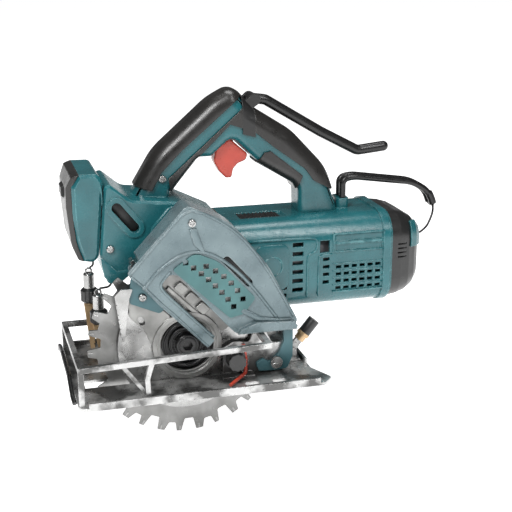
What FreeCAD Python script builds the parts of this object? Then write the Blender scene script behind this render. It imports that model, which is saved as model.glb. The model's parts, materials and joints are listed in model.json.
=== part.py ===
import FreeCAD, Part
import math
import os

os.makedirs("parts", exist_ok=True)
V = FreeCAD.Vector

# Circular saw, millimetres. X runs along the cut, Y goes away from the blade side, Z is up.
# The origin lies on the sole plane, under the spindle, in the mid-plane of motor and handle.

# Blade and spindle
blade_dia = 165.0
blade_thick = 1.6
blade_y = -56.0
blade_bore = 20.0
blade_teeth = 30
gullet_deep = 11.0
gullet_shallow = 7.5
spindle_z = 33.0
spindle_r = 6.0
flange_r = 21.0
flange_thick = 3.2
bolt_head_r = 10.0
bolt_shank_r = 4.0

# Motor
motor_z = 86.0
motor_front_x = 44.0
motor_length = 148.0
motor_half_width = 43.0
motor_half_height = 41.0
motor_corner_r = 22.0
motor_wall = 3.0
cap_length = 31.0
shaft_r = 5.0

# Gear train: bevel pair, then a pinion, an idler and the spindle gear
train_x = 10.0
module = 2.0
bevel_small = 12
bevel_large = 24
pinion_teeth = 14
idler_teeth = 10
spindle_teeth = 24
gear_y0 = -34.0
gear_y1 = -24.0

# Gear case
case_wall = 2.5
case_face_y = -46.0
case_split_y = -18.5
boss_r = 22.0
boss_length = 6.0

# Handle and rear body
handle_half = 17.0
grip_round = 13.0
grip_inner_round = 8.0
skin = 2.2
shell_wall = 2.6
rear_half = 32.0

# Battery pack
pack_half = 33.0

# Guards
cover_y = -74.0
cover_thick = 2.5
guard_sheet = 1.2
guard_rim_r = 85.0
guard_tab = 3.0
guard_disc_r = 58.0
guard_start = 14.0
guard_end = 122.0

# Base
plate_thick = 2.5
plate_x0 = -96.0
plate_x1 = 110.0
plate_y0 = -104.0
plate_y1 = 38.0
rail_height = 33.0
rail_rise = 5.5
rail_end_x = 64.5
rail_bar = 4.5
pivot_x = 76.0
pivot_z = 12.0
pivot_r = 3.0
pin_x = -63.5
pin_near_y = 14.0
pin_far_y = 28.0

# Fits
running = 0.12
gap = 0.4
screw_clear = 0.1


def xz(u, v):
    return V(u, 0, v)


def xy(u, v):
    return V(u, v, 0)


def yz(u, v):
    return V(0, u, v)


def wire(points, plane=xz):
    """Closed outline; a third value in a point rounds that corner."""
    ends = []
    edges = []
    count = len(points)
    for i in range(count):
        here = plane(*points[i][:2])
        if len(points[i]) < 3:
            ends.append((here, here))
            continue
        back = (plane(*points[i - 1][:2]) - here).normalize()
        ahead = (plane(*points[(i + 1) % count][:2]) - here).normalize()
        half = back.getAngle(ahead) / 2
        radius = points[i][2]
        run = radius / math.tan(half)
        centre = here + (back + ahead).normalize() * (radius / math.sin(half))
        middle = centre + (here - centre).normalize() * radius
        ends.append((here + back * run, here + ahead * run))
        edges.append(Part.Arc(ends[-1][0], middle, ends[-1][1]).toShape())
    for i in range(count):
        start = ends[i - 1][1]
        stop = ends[i][0]
        if start.distanceToPoint(stop) > 1e-4:
            edges.append(Part.LineSegment(start, stop).toShape())
    return Part.Wire(Part.__sortEdges__(edges))


def prism(points, y0, y1):
    face = Part.Face(wire(points))
    face.translate(V(0, y0, 0))
    return face.extrude(V(0, y1 - y0, 0))


def slab(points, z0, z1):
    face = Part.Face(wire(points, xy))
    face.translate(V(0, 0, z0))
    return face.extrude(V(0, 0, z1 - z0))


def bar_x(points, x0, x1):
    face = Part.Face(wire(points, yz))
    face.translate(V(x0, 0, 0))
    return face.extrude(V(x1 - x0, 0, 0))


def inset(points, distance, y0, y1):
    face = Part.Face(wire(points)).makeOffset2D(-distance)
    face.translate(V(0, y0, 0))
    return face.extrude(V(0, y1 - y0, 0))


def block(x0, x1, y0, y1, z0, z1):
    return Part.makeBox(x1 - x0, y1 - y0, z1 - z0, V(x0, y0, z0))


def disc_y(x, z, r, y0, y1, hole=0.0):
    solid = Part.makeCylinder(r, y1 - y0, V(x, y0, z), V(0, 1, 0))
    if hole:
        solid = solid.cut(Part.makeCylinder(hole, y1 - y0, V(x, y0, z), V(0, 1, 0)))
    return solid


def disc_x(y, z, r, x0, x1, hole=0.0):
    solid = Part.makeCylinder(r, x1 - x0, V(x0, y, z), V(1, 0, 0))
    if hole:
        solid = solid.cut(Part.makeCylinder(hole, x1 - x0, V(x0, y, z), V(1, 0, 0)))
    return solid


def disc_z(x, y, r, z0, z1, hole=0.0):
    solid = Part.makeCylinder(r, z1 - z0, V(x, y, z0), V(0, 0, 1))
    if hole:
        solid = solid.cut(Part.makeCylinder(hole, z1 - z0, V(x, y, z0), V(0, 0, 1)))
    return solid


def fuse(*solids):
    return solids[0].multiFuse(list(solids[1:])).removeSplitter()


def hull_y(a, ra, b, rb, y0, y1):
    """Two round ends and the straight tangents between them."""
    ahead = math.atan2(b[1] - a[1], b[0] - a[0])
    reach = math.hypot(b[0] - a[0], b[1] - a[1])
    lean = math.acos((ra - rb) / reach)
    web = []
    for side in (1, -1):
        turn = ahead + side * lean
        ends = [(a[0] + ra * math.cos(turn), a[1] + ra * math.sin(turn)),
                (b[0] + rb * math.cos(turn), b[1] + rb * math.sin(turn))]
        web += ends if side == 1 else ends[::-1]
    return fuse(disc_y(*a, ra, y0, y1), disc_y(*b, rb, y0, y1), prism(web, y0, y1))


def rounded_box(half_w, half_h, corner, z_mid):
    return [(-half_w, z_mid - half_h, corner), (half_w, z_mid - half_h, corner),
            (half_w, z_mid + half_h, corner), (-half_w, z_mid + half_h, corner)]


def tube(points, radius, bend=None):
    """Round rod along straight runs joined by tangent arcs."""
    pts = [V(*p) for p in points]
    edges = []
    start = pts[0]
    for i in range(1, len(pts) - 1):
        back = pts[i - 1] - pts[i]
        ahead = pts[i + 1] - pts[i]
        shorter = min(back.Length, ahead.Length)
        half_turn = (math.pi - back.getAngle(ahead)) / 2
        r = bend or 0.45 * shorter / math.tan(half_turn)
        run = r * math.tan(half_turn)
        back.normalize()
        ahead.normalize()
        a = pts[i] + back * run
        b = pts[i] + ahead * run
        centre = pts[i] + (back + ahead).normalize() * (r / math.cos(half_turn))
        middle = centre + (pts[i] - centre).normalize() * r
        edges.append(Part.LineSegment(start, a).toShape())
        edges.append(Part.Arc(a, middle, b).toShape())
        start = b
    edges.append(Part.LineSegment(start, pts[-1]).toShape())
    path = Part.Wire(edges)
    ring = Part.Wire(Part.makeCircle(radius, pts[0], pts[1] - pts[0]))
    return path.makePipeShell([ring], True, False)


def screw(at, into, head_r=3.4, head_h=2.4, shank_r=1.6, shank=8.0):
    """Pan head with a cross recess; its seat is at `at` and it points along `into`."""
    d = V(*into).normalize()
    seat = V(*at)
    head = Part.makeCylinder(head_r, head_h, seat - d * head_h, d)
    head = head.makeFillet(head_h * 0.55, [e for e in head.Edges
                                           if (e.CenterOfMass - (seat - d * head_h)).Length < 0.01
                                           and len(e.Vertexes) == 1])
    slot_l = head_r * 1.1
    cross = Part.makeBox(slot_l, slot_l * 0.3, head_h, V(-slot_l / 2, -slot_l * 0.15, -head_h / 2))
    cross = cross.fuse(Part.makeBox(slot_l * 0.3, slot_l, head_h,
                                    V(-slot_l * 0.15, -slot_l / 2, -head_h / 2)))
    cross.Placement = FreeCAD.Placement(seat - d * head_h, FreeCAD.Rotation(V(0, 0, 1), d))
    stem = Part.makeCylinder(shank_r, shank, seat, d)
    return head.cut(cross).fuse(stem).removeSplitter()


def hole(at, into, depth=10.0, r=1.6 + screw_clear):
    return Part.makeCylinder(r, depth, V(*at), V(*into))


def toothed(teeth, root_r, tip_r, phase, plane_z=0.0):
    """Straight-flanked tooth outline in the XY plane."""
    pts = []
    pitch = 2 * math.pi / teeth
    for k in range(teeth):
        for share, r in ((-0.26, root_r), (-0.1, tip_r), (0.1, tip_r), (0.26, root_r)):
            turn = phase + (k + share) * pitch
            pts.append(V(r * math.cos(turn), r * math.sin(turn), plane_z))
    return Part.makePolygon(pts + [pts[0]])


def spur(teeth, x, z, y0, y1, phase, bore=0.0):
    r = module * teeth / 2
    face = Part.Face(toothed(teeth, r - 0.95 * module, r + 0.65 * module, phase))
    gear = face.extrude(V(0, 0, y1 - y0))
    # the outline's first axis becomes X and its second becomes Z
    gear.rotate(V(0, 0, 0), V(1, 0, 0), 90)
    gear.translate(V(x, y1, z))
    if bore:
        gear = gear.cut(disc_y(x, z, bore, y0, y1))
    return gear


def bevel(teeth, cone_angle, far, near, phase):
    """Conical gear about +Z with its apex at the origin."""
    rings = []
    for cone in (far, near):
        h = cone * math.cos(cone_angle)
        tip = h * math.tan(cone_angle + 0.048)
        root = h * math.tan(cone_angle - 0.080)
        rings.append(toothed(teeth, root, tip, phase, h))
    return Part.makeLoft(rings, True, True)


# Gear geometry that several pieces share
cone_angle = math.atan2(bevel_small, bevel_large)
cone_far = module * math.hypot(bevel_small, bevel_large) / 2
cone_near = cone_far * 0.7
counter = (train_x, motor_z)
spindle = (0.0, spindle_z)
centre_dist = math.hypot(train_x, motor_z - spindle_z)
idler_to_spindle = module * (idler_teeth + spindle_teeth) / 2
idler_to_counter = module * (idler_teeth + pinion_teeth) / 2
along = (idler_to_spindle ** 2 - idler_to_counter ** 2 + centre_dist ** 2) / (2 * centre_dist)
aside = math.sqrt(idler_to_spindle ** 2 - along ** 2)
dir_x = train_x / centre_dist
dir_z = (motor_z - spindle_z) / centre_dist
idler = (dir_x * along - dir_z * aside, spindle_z + dir_z * along + dir_x * aside)


def meshed(phase_a, teeth_a, a, teeth_b, b):
    """Phase of gear b so that its gaps meet the teeth of gear a."""
    toward = math.atan2(b[1] - a[1], b[0] - a[0])
    share = (toward - phase_a) * teeth_a / (2 * math.pi)
    return toward + math.pi - (0.5 - share) * 2 * math.pi / teeth_b


pinion_phase = 0.0
idler_phase = meshed(pinion_phase, pinion_teeth, counter, idler_teeth, idler)
spindle_phase = meshed(idler_phase, idler_teeth, idler, spindle_teeth, spindle)

blade_r = blade_dia / 2
blade_near = blade_y - blade_thick / 2
blade_far = blade_y + blade_thick / 2
guard_near_y = blade_near - flange_thick - 1.6
guard_far_y = case_face_y - boss_length + 0.6
case_tip_r = module * spindle_teeth / 2 + 0.65 * module + 1.2
idler_room_r = module * idler_teeth / 2 + 0.65 * module + 1.2
bevel_r = module * bevel_large / 2 + 3.5
motor_end_x = motor_front_x + motor_length
cap_end_x = motor_end_x + cap_length

nodes = {}


# ---- Blade and what clamps it -------------------------------------------------------------

def make_blade():
    """Teeth in pairs: a deep gullet, then a shallow one."""
    disc = disc_y(*spindle, blade_r, blade_near, blade_far, blade_bore / 2)
    pitch = 2 * math.pi / blade_teeth
    for k in range(blade_teeth):
        depth = gullet_deep if k % 2 else gullet_shallow
        width = 0.62 if k % 2 else 0.5
        turn = k * pitch
        cut = []
        for share, r in ((0.0, blade_r + 2), (0.12, blade_r - depth), (width, blade_r - depth),
                         (width + 0.2, blade_r + 2)):
            cut.append((spindle[0] + r * math.cos(turn - share * pitch),
                        spindle[1] + r * math.sin(turn - share * pitch)))
        cut[1] += (1.2,)
        cut[2] += (1.8,)
        disc = disc.cut(prism(cut, blade_near - 1, blade_far + 1))
    return disc


def make_flanges():
    outer = disc_y(*spindle, flange_r, blade_near - flange_thick, blade_near)
    lip = disc_y(*spindle, flange_r, blade_near - flange_thick - 3.0, blade_near - flange_thick,
                 flange_r - 3.5)
    outer = fuse(outer, lip).cut(disc_y(*spindle, spindle_r + running, -70, blade_near))
    inner = disc_y(*spindle, flange_r - 2, blade_far, blade_far + flange_thick,
                   spindle_r + running)
    pilot = disc_y(*spindle, blade_bore / 2 - running, blade_near, blade_far,
                   spindle_r + running)
    return Part.makeCompound([outer, fuse(inner, pilot)])


spindle_end_y = blade_near - flange_thick
spindle_back_y = case_split_y + 9.0


def make_spindle():
    shaft = disc_y(*spindle, spindle_r, spindle_end_y, spindle_back_y)
    return shaft.cut(disc_y(*spindle, bolt_shank_r, spindle_end_y, spindle_end_y + 14))


def make_arbor_bolt():
    washer = disc_y(*spindle, flange_r - 6, spindle_end_y - 2.0, spindle_end_y)
    head = disc_y(*spindle, bolt_head_r, spindle_end_y - 8.0, spindle_end_y - 2.0)
    rim = [e for e in head.Edges if abs(e.CenterOfMass.y - (spindle_end_y - 8.0)) < 0.01]
    head = head.makeFillet(1.2, rim)
    hexagon = [(spindle[0] + 4.6 * math.cos(k * math.pi / 3),
                spindle[1] + 4.6 * math.sin(k * math.pi / 3)) for k in range(6)]
    shank = disc_y(*spindle, bolt_shank_r - running, spindle_end_y, spindle_end_y + 13)
    return fuse(washer, head, shank).cut(prism(hexagon, spindle_end_y - 9, spindle_end_y - 3.5))


nodes["blade"] = make_blade()
nodes["blade_flanges"] = make_flanges()
nodes["spindle"] = make_spindle()
nodes["arbor_bolt"] = make_arbor_bolt()
nodes["spindle_gear"] = spur(spindle_teeth, *spindle, gear_y0 + 1, gear_y1 - 1, spindle_phase,
                             spindle_r)

# ---- Gear train ---------------------------------------------------------------------------

counter_y0 = case_face_y + case_wall + 0.5
counter_y1 = 15.0


def make_countershaft():
    shaft = disc_y(*counter, shaft_r, counter_y0, counter_y1)
    pinion = spur(pinion_teeth, *counter, gear_y0, gear_y1, pinion_phase)
    # a gap faces the motor pinion, which shows it a tooth
    wheel = bevel(bevel_large, math.pi / 2 - cone_angle, cone_far, cone_near,
                  math.pi / bevel_large)
    wheel.rotate(V(0, 0, 0), V(1, 0, 0), 90)
    wheel.translate(V(counter[0], 0, counter[1]))
    back = disc_y(*counter, module * bevel_large / 2 - 7, -module * bevel_small / 2 - 3,
                  -module * bevel_small / 2)
    return fuse(shaft, pinion, wheel, back)


def make_idler():
    stub = disc_y(*idler, 3.5, counter_y0, case_split_y + 4.5)
    return fuse(stub, spur(idler_teeth, *idler, gear_y0, gear_y1, idler_phase))


rotor_x0 = motor_front_x + 40
rotor_x1 = rotor_x0 + 56
shaft_end_x = motor_end_x + 14


def make_armature():
    pinion = bevel(bevel_small, cone_angle, cone_far, cone_near, 0.0)
    pinion.rotate(V(0, 0, 0), V(0, 1, 0), 90)
    # after the turn one tooth points at the countershaft's wheel
    pinion.rotate(V(0, 0, 0), V(1, 0, 0), 90)
    pinion.translate(V(counter[0], 0, counter[1]))
    pinion_end = counter[0] + cone_far * math.cos(cone_angle)
    shaft = disc_x(0, motor_z, shaft_r, pinion_end - 2, shaft_end_x)
    commutator = disc_x(0, motor_z, 12, rotor_x1 + 6, rotor_x1 + 24)
    for k in range(12):
        turn = k * math.pi / 6
        groove = block(rotor_x1 + 7, rotor_x1 + 23, 11, 13, -0.4, 0.4)
        groove.rotate(V(0, 0, 0), V(1, 0, 0), math.degrees(turn))
        groove.translate(V(0, 0, motor_z))
        commutator = commutator.cut(groove)
    return fuse(pinion, shaft, commutator)


def make_rotor():
    core = disc_x(0, motor_z, 26, rotor_x0, rotor_x1, shaft_r)
    for k in range(8):
        slot = block(rotor_x0, rotor_x1, 18, 27, -1.4, 1.4)
        slot.rotate(V(0, 0, 0), V(1, 0, 0), k * 45)
        slot.translate(V(0, 0, motor_z))
        core = core.cut(slot)
    return core


def make_fan():
    x0 = rotor_x0 - 26
    fan = disc_x(0, motor_z, 33, x0, x0 + 2.0, shaft_r)
    fan = fuse(fan, disc_x(0, motor_z, 9, x0, x0 + 12, shaft_r))
    for k in range(14):
        vane = block(x0 + 1.5, x0 + 11, 13, 32, -0.8, 0.8)
        vane.rotate(V(0, 0, 0), V(1, 0, 0), k * 360 / 14)
        vane.translate(V(0, 0, motor_z))
        fan = fan.fuse(vane)
    return fan.removeSplitter()


nodes["countershaft"] = make_countershaft()
nodes["idler_gear"] = make_idler()
nodes["armature_shaft"] = make_armature()
nodes["rotor_core"] = make_rotor()
nodes["cooling_fan"] = make_fan()

# ---- Bearings and stator ------------------------------------------------------------------

bearing_in_x0 = counter[0] + cone_far * math.cos(cone_angle) + 4.2
bearing_sizes = {"spindle": 13.0, "counter": 10.5, "motor": 12.0}
neck_r = bearing_sizes["motor"] + 5


def make_bearings():
    free = running
    rings = [
        disc_y(*spindle, bearing_sizes["spindle"], case_face_y - 5, case_face_y + 3,
               spindle_r + free),
        disc_y(*spindle, bearing_sizes["counter"], spindle_back_y - 6, spindle_back_y,
               spindle_r + free),
        disc_y(*counter, bearing_sizes["counter"], counter_y1 - 6, counter_y1, shaft_r + free),
        disc_x(0, motor_z, bearing_sizes["motor"], bearing_in_x0, bearing_in_x0 + 8,
               shaft_r + free),
        disc_x(0, motor_z, bearing_sizes["motor"], shaft_end_x - 7, shaft_end_x,
               shaft_r + free),
    ]
    return Part.makeCompound(rings)


stator_r = motor_half_height - motor_wall - 0.2
nodes["bearings"] = make_bearings()
nodes["stator"] = disc_x(0, motor_z, stator_r, rotor_x0, rotor_x1, 27.5)

# ---- Gear case ----------------------------------------------------------------------------

spindle_case_r = case_tip_r + case_wall
counter_case_r = bevel_r + case_wall


def make_gear_case():
    body = hull_y(spindle, spindle_case_r, counter, counter_case_r, case_face_y, case_split_y)
    body = fuse(body, disc_y(*idler, idler_room_r + case_wall, case_face_y, case_split_y))
    room = hull_y(spindle, case_tip_r, counter, bevel_r, case_face_y + case_wall, case_split_y)
    room = fuse(room, disc_y(*idler, idler_room_r, case_face_y + case_wall, case_split_y))
    collar = disc_y(*spindle, boss_r, case_face_y - boss_length, case_face_y + case_wall + 3)
    inner_y = case_face_y + case_wall
    holders = [disc_y(*counter, shaft_r + 3, inner_y, inner_y + 5),
               disc_y(*idler, 3.5 + 3, inner_y, inner_y + 5)]
    body = fuse(body.cut(room), collar, *holders)
    body = body.cut(disc_y(*counter, shaft_r + running, inner_y, inner_y + 6))
    body = body.cut(disc_y(*idler, 3.5 + running, inner_y, inner_y + 6))
    seat = disc_y(*spindle, bearing_sizes["spindle"], case_face_y - 5, case_face_y + 12)
    neck = disc_y(*spindle, spindle_r + 4, case_face_y - boss_length, case_face_y)
    return body.cut(seat).cut(neck)


def make_gear_cover():
    far_y = counter_y1 + 2.5
    chamber = hull_y(spindle, spindle_case_r, counter, counter_case_r, case_split_y,
                     spindle_back_y + 1.5)
    drum = disc_y(*counter, counter_case_r, case_split_y, far_y)
    neck_end = motor_front_x
    neck = disc_x(0, motor_z, neck_r, counter[0], bearing_in_x0 + 8)
    flange = bar_x(rounded_box(motor_half_width, motor_half_height, motor_corner_r, motor_z),
                   counter[0] + counter_case_r + gap, neck_end)
    body = fuse(chamber, drum, neck, flange)
    body = body.cut(disc_y(*counter, bevel_r, case_split_y, counter_y1 - 6))
    body = body.cut(disc_y(*counter, bearing_sizes["counter"], counter_y1 - 6, counter_y1))
    body = body.cut(disc_y(*spindle, bearing_sizes["counter"], spindle_back_y - 6,
                           spindle_back_y))
    body = body.cut(disc_y(*spindle, spindle_r + 1, case_split_y, spindle_back_y))
    body = body.cut(disc_y(*idler, 3.5 + running, case_split_y, case_split_y + 5))
    body = body.cut(disc_x(0, motor_z, 14.5, counter[0], bearing_in_x0))
    return body.cut(disc_x(0, motor_z, bearing_sizes["motor"], bearing_in_x0,
                           bearing_in_x0 + 8))


nodes["gear_case"] = make_gear_case()
nodes["gear_cover"] = make_gear_cover()

# ---- Motor housing ------------------------------------------------------------------------

vent_rows = [83.0, 76.5, 70.0, 63.5]
groove_rows = [109.5, 100.5]
groove_depth = 1.0
bail_x = motor_end_x - 34.5
bail_rod_r = 2.9
bail_half = 4.6


def motor_vents(side):
    """Cooling slots through one side wall."""
    y = side * motor_half_width
    cuts = []
    for row in range(6):
        z = motor_z + 20.0 - row * 8.2
        cuts.append(block(99, 109, y - 8, y + 8, z - 2, z + 2))
    for z in vent_rows:
        for k in range(6):
            x = 139 + k * 7.4
            cuts.append(block(x, x + 5.2, y - 9, y + 9, z - 1.5, z + 1.5))
    for z in groove_rows:
        y0, y1 = sorted((y - side * groove_depth, y + side * groove_depth))
        cuts.append(block(139, 182, y0, y1, z - 2.6, z + 2.6))
    for k in range(4):
        z = 91 - k * 7
        cuts.append(block(127, 133, y - 7, y + 7, z - 1.6, z + 1.6))
    cuts.append(block(124, 133, y - 7, y + 7, 97, 108))
    for k in range(2):
        cuts.append(block(84 - k * 3, 94, y - 8, y + 8, 66 - k * 7, 69.5 - k * 7))
    return cuts


def make_motor_housing():
    outer = bar_x(rounded_box(motor_half_width, motor_half_height, motor_corner_r, motor_z),
                  motor_front_x, motor_end_x)
    ring = bar_x(rounded_box(motor_half_width + 1.5, motor_half_height + 1.5,
                             motor_corner_r + 1.5, motor_z), motor_end_x - 9, motor_end_x - 2)
    room = bar_x(rounded_box(motor_half_width - motor_wall, motor_half_height - motor_wall,
                             motor_corner_r - motor_wall, motor_z), motor_front_x, motor_end_x)
    shell = outer.fuse(ring).removeSplitter().cut(room)
    shell = shell.cut(block(58, 100, -21, -2, motor_z + motor_half_height - 1.6, 200))
    top = motor_z + motor_half_height
    boss = slab([(bail_x - 6, -bail_half - 5, 4), (bail_x + 5, -bail_half - 5, 4),
                 (bail_x + 5, bail_half + 5, 4), (bail_x - 6, bail_half + 5, 4)],
                top - motor_wall, top + 9)
    shell = shell.fuse(boss).removeSplitter()
    for y in (-bail_half, bail_half):
        shell = shell.cut(disc_z(bail_x, y, bail_rod_r + running, top - 1, top + 10))
    for side in (-1, 1):
        for cut in motor_vents(side):
            shell = shell.cut(cut)
    return shell


near_side = block(-300, 400, -300, 0, -200, 400)
far_side = block(-300, 400, 0, 300, -200, 400)
motor_housing = make_motor_housing()
nodes["motor_housing_near"] = motor_housing.common(near_side)
nodes["motor_housing_far"] = motor_housing.common(far_side)


def cap_solid(grow, longer):
    """Cup shape of the end cap; its side narrows towards the rounded end."""
    rings = []
    for share, shrink in ((0.0, 0.8), (0.3, 1.8), (0.58, 4.2), (0.8, 8.0), (0.94, 12.5),
                          (1.0, 17.0)):
        less = shrink - grow
        ring = wire(rounded_box(motor_half_width - less, motor_half_height - less,
                                motor_corner_r - shrink / 2, motor_z), yz)
        ring.translate(V(motor_end_x + share * (cap_length + longer), 0, 0))
        rings.append(ring)
    return Part.makeLoft(rings, True, True)


def make_end_cap():
    """Ribbed cup that closes the motor and seats its rear bearing."""
    body = cap_solid(0.0, 0.0)
    room = bar_x(rounded_box(motor_half_width - 8, motor_half_height - 8, motor_corner_r - 4,
                             motor_z), motor_end_x, motor_end_x + cap_length / 2)
    post = disc_x(0, motor_z, bearing_sizes["motor"] + 3, motor_end_x + 4, cap_end_x - 10,
                  bearing_sizes["motor"])
    body = fuse(body.cut(room), post)
    for k in range(4):
        z = motor_z + 13 - k * 4
        for side in (-1, 1):
            y0, y1 = sorted((side * (motor_half_width - 4.2), side * (motor_half_width + 9)))
            body = body.cut(block(motor_end_x + 6, motor_end_x + 15, y0, y1, z - 0.7, z + 0.7))
    return body


nodes["motor_end_cap"] = make_end_cap()
cap_clip_x = motor_end_x + 0.62 * cap_length
nodes["end_cap_clip"] = cap_solid(1.5, 1.2).common(
    block(cap_clip_x, cap_end_x + 5, -motor_half_width - 5, -motor_half_width + 15,
          motor_z + 9, motor_z + 31)).cut(cap_solid(0.0, 0.0))

# ---- Handle and rear body -----------------------------------------------------------------

arch = [(-38, 140), (-36, 152, 20), (-14, 188, 60), (34, 230, 60), (55, 241, 12), (73, 222, 10),
        (108, 200, 60), (140, 166, 50), (157, 118), (112, 118), (111, 152, 12), (73, 175, 5),
        (53, 194, 4), (36, 179, 5), (22, 179, 4), (2, 155, 12), (-2, 140)]
rear_outline = [(-59.5, 170, 4), (-38, 152, 14), (4, 148, 20), (39, 131), (39.6, 96), (10, 86),
                (-36, 91, 8), (-49, 81, 4), (-60, 81, 4), (-65.5, 107)]
foot_z = motor_z + motor_half_height


arch_inside = [(-32, 130), (-32, 143), (-10, 147), (-6, 154), (18, 184), (53, 206), (80, 184),
               (116, 160), (125, 140), (140, 124), (152, 110), (100, 100)]


def rounded_arch(face, half, back_r, inside_r):
    """Handle arch with its back rounded more than its inside."""
    face.translate(V(0, -half, 0))
    body = face.extrude(V(0, 2 * half, 0))
    zone = prism(arch_inside, -half - 1, half + 1)
    rims = [e for e in body.Edges if abs(abs(e.CenterOfMass.y) - half) < 0.01]
    inside = [e.CenterOfMass for e in rims if zone.isInside(e.CenterOfMass, 0.01, True)]
    back = [e for e in rims if not zone.isInside(e.CenterOfMass, 0.01, True)]
    body = body.makeFillet(back_r, back)
    left = [e for e in body.Edges if any((e.CenterOfMass - at).Length < 0.05 for at in inside)]
    return body.makeFillet(inside_r, left)


below_foot = block(45, 300, -60, 60, 0, foot_z)
arch_face = Part.Face(wire(arch))
arch_core = rounded_arch(arch_face.makeOffset2D(-skin), handle_half - skin, grip_round - skin,
                         grip_inner_round - skin).cut(below_foot)
arch_skin = rounded_arch(arch_face, handle_half, grip_round, grip_inner_round).cut(below_foot)
trigger_half = 6.0


pack_front = [(-60.4, 173), (-66.3, 107)]
strap_top = (-50.5, 147.0)
strap_low = (-36.0, 129.0)
strap_rise = 1.6


def make_handle_shell():
    """Handle arch and rear body moulded together, hollow, with a slot for the trigger."""
    rear = prism(rear_outline, -rear_half, rear_half)
    rims = [e for e in rear.Edges if abs(abs(e.CenterOfMass.y) - rear_half) < 0.01]
    rear = rear.makeChamfer(2.0, rims)
    shell = rear.fuse(arch_core)
    hollow = inset(arch, skin + shell_wall, -handle_half + skin + shell_wall,
                   handle_half - skin - shell_wall).cut(block(-100, 60, -60, 60, 0, 150))
    hollow = hollow.cut(block(60, 300, -60, 60, 0, foot_z + 4))
    rear_room = inset(rear_outline, shell_wall + 0.6, -rear_half + shell_wall + 1,
                      rear_half - shell_wall - 1)
    shell = shell.cut(hollow).cut(rear_room)
    shell = shell.cut(block(30, 73, -trigger_half - gap, trigger_half + gap, 168, 199))
    keep_out = hull_y(spindle, spindle_case_r + gap, counter, counter_case_r + gap, -60, 60)
    shell = shell.cut(keep_out)
    shell = shell.cut(disc_x(0, motor_z, neck_r + gap, counter[0], motor_front_x))
    for side in (-1, 1):
        rim_y0, rim_y1 = sorted((side * (rear_half - 1), side * (rear_half + strap_rise)))
        cut_y0, cut_y1 = sorted((side * (rear_half - 8), side * (rear_half + 9)))
        shell = fuse(shell, hull_y(strap_top, 8.5, strap_low, 8.3, rim_y0, rim_y1).common(
            block(pack_front[0][0] + 1.2, 0, -60, 60, 0, 200)))
        shell = shell.cut(hull_y(strap_top, 4.3, strap_low, 4.1, cut_y0, cut_y1))
    return shell


handle_shell = make_handle_shell()
nodes["handle_shell_near"] = handle_shell.common(near_side)
nodes["handle_shell_far"] = handle_shell.common(far_side)


def cladding(region):
    """Rubber skin of the handle inside a side-view region."""
    return arch_skin.common(prism(region, -60, 60)).cut(arch_core)


band_x0 = 62.0
band_x1 = 73.0
nodes["rear_grip"] = cladding([(-46, 163), (-17.5, 155.5), (-9, 171), (8, 188), (54, 227),
                               (band_x0, 233),
                               (band_x0, 260), (0, 260), (-60, 200)])
nodes["inner_grip"] = cladding([(-1.5, 154), (-3.5, 165), (8, 175), (57, 218), (band_x0, 222),
                                (band_x0, 205), (51, 209), (21, 180), (20, 150)])
nodes["front_grip"] = cladding([(band_x1, 300), (band_x1, 201), (89, 188), (118, 167),
                                (126, 156), (144, 146), (200, 170), (200, 300)])
nodes["front_pad"] = cladding([(72.5, 170), (81, 183), (87, 184), (116, 161), (112, 150),
                               (104, 140), (85, 150)])
nodes["handle_band"] = cladding([(band_x0, 200), (band_x1, 197), (band_x1, 300),
                                 (band_x0, 300)])

# ---- Hooks --------------------------------------------------------------------------------

hook_pivot = (74.0, 228.0)
hook_pin_r = 2.5
hook_rod_r = 4.6


def make_band():
    """Dark collar round the handle with two ears for the hook's pin."""
    ears = []
    for side in (-1, 1):
        y0, y1 = sorted((side * 5.4, side * 10.0))
        ears.append(hull_y((band_x0 + 4.5, 222.0), 4.4, hook_pivot, 5.0, y0, y1))
    pin = disc_y(*hook_pivot, hook_pin_r, -10, 10)
    socket = disc_y(*hook_pivot, 5.4, -5.4, 5.4)
    body = fuse(nodes["handle_band"], *ears).cut(arch_core).cut(socket)
    return fuse(body, pin)


nodes["handle_band"] = make_band()
nodes["front_grip"] = nodes["front_grip"].cut(nodes["handle_band"]).cut(
    disc_y(*hook_pivot, 5.4, -5.4, 5.4))


def make_top_hook():
    x, z = hook_pivot
    eye = disc_y(x, z, 5.0, -5, 5)
    rod = tube([(x + 1, 0, z), (x + 12, 0, z - 1.5), (137, 0, 196), (172, 0, 177.5), (197, 0, 180)],
               hook_rod_r, 9.0)
    tip = Part.makeSphere(hook_rod_r, V(197, 0, 180))
    return fuse(eye, rod, tip).cut(disc_y(x, z, hook_pin_r + running, -6, 6))


def make_bail():
    """Closed loop of rod: two legs side by side, joined at the free end."""
    side = [(bail_x, foot_z - 1), (bail_x, foot_z + 25.5), (bail_x + 10.5, foot_z + 27.5),
            (motor_end_x + 34, foot_z + 19), (motor_end_x + 49, foot_z + 9.5),
            (motor_end_x + 55, foot_z - 3)]
    path = [(x, -bail_half, z) for x, z in side] + [(x, bail_half, z) for x, z in side[::-1]]
    return tube(path, bail_rod_r)


nodes["top_hook"] = make_top_hook()
nodes["bail_hook"] = make_bail()

# ---- Trigger and switch -------------------------------------------------------------------

trigger_pivot = (50.0, 202.0)


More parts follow.
